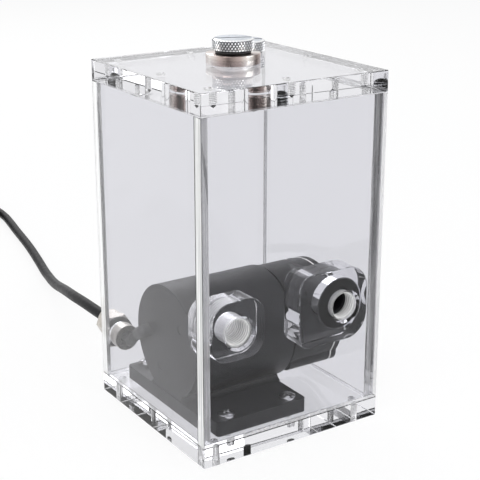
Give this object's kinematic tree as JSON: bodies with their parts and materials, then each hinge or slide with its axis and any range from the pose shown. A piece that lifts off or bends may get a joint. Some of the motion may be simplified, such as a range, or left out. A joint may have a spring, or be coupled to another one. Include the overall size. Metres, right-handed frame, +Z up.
{
  "type": "coolant pump reservoir",
  "caption": "Clear square tank with a submerged circulating pump, two threaded hose ports, a fill port and vent in the lid and a cable gland behind.",
  "frame": {"origin": "centre of the tank's underside, on the surface it stands on", "axes": "+X to the right along the port face, +Y from the port face to the back, +Z up; the ports face -Y"},
  "size_m": [0.0988, 0.4408, 0.1719],
  "materials": {
    "clear_acrylic": "polished",
    "block_acrylic": "polished",
    "nickel": "bright nickel",
    "knurled_steel": "bright nickel",
    "seal_rubber": "matte",
    "housing_plastic": "satin",
    "head_plastic": "satin",
    "gasket_white": "matte",
    "screw_steel": "bright",
    "stator_steel": "laminated",
    "coil_copper": "enamelled wire",
    "board_green": "varnished",
    "ceramic": "polished",
    "magnet": "moulded ferrite",
    "gland_nickel": "nickel",
    "boot_rubber": "matte",
    "cable_jacket": "satin",
    "plug_nylon": "satin"
  },
  "bodies": {
    "tank": {"bottom_plate": "clear_acrylic", "front_panel": "clear_acrylic", "back_panel": "clear_acrylic", "left_panel": "clear_acrylic", "right_panel": "clear_acrylic", "lid_plate": "clear_acrylic", "inlet_block": "block_acrylic", "outlet_block": "block_acrylic", "fill_collar": "nickel", "collar_seal": "seal_rubber", "motor_housing": "housing_plastic", "end_cap": "housing_plastic", "foot_screws": "screw_steel", "stator_core": "stator_steel", "stator_coils": "coil_copper", "controller_board": "board_green", "isolation_can": "head_plastic", "pump_shaft": "ceramic", "pump_head": "head_plastic", "head_gasket": "gasket_white", "front_cover": "head_plastic", "cover_screws": "screw_steel", "outlet_spigot": "head_plastic", "outlet_seal": "seal_rubber", "gland_body": "gland_nickel", "gland_seal": "seal_rubber", "gland_bush": "seal_rubber", "gland_cap": "gland_nickel", "lead_boot": "boot_rubber", "inner_lead": "cable_jacket", "power_cable": "cable_jacket", "cable_coil": "cable_jacket", "cable_tail": "cable_jacket", "cable_plug": "plug_nylon"},
    "rotor": {"rotor_magnet": "magnet", "impeller": "head_plastic"},
    "fill_ring": {"fill_plug_seal": "seal_rubber"},
    "fill_plug": {"fill_plug": "knurled_steel"},
    "vent_ring": {"vent_plug_seal": "seal_rubber"},
    "vent_plug": {"vent_plug": "knurled_steel"}
  },
  "joints": [
    {"name": "rotor_spin", "type": "hinge", "parent": "tank", "child": "rotor", "pos_m": [0, -0.002, 0.041], "axis": [1, 0, 0], "continuous": true},
    {"name": "fill_rise", "type": "slide", "parent": "tank", "child": "fill_ring", "axis": [0, 0, 1], "range_m": [0, 0.00535]},
    {"name": "fill_turn", "type": "hinge", "parent": "fill_ring", "child": "fill_plug", "pos_m": [0.001, 0.004, 0.1655], "axis": [0, 0, 1], "range_deg": [0, 1440]},
    {"name": "vent_rise", "type": "slide", "parent": "tank", "child": "vent_ring", "axis": [0, 0, 1], "range_m": [0, 0.00535]},
    {"name": "vent_turn", "type": "hinge", "parent": "vent_ring", "child": "vent_plug", "pos_m": [0.0185, 0.0215, 0.161], "axis": [0, 0, 1], "range_deg": [0, 1440]}
  ],
  "couplings": [
    {"joint": "fill_turn", "follows": "fill_rise", "rad_per_m": 4699.5},
    {"joint": "vent_turn", "follows": "vent_rise", "rad_per_m": 4699.5}
  ]
}
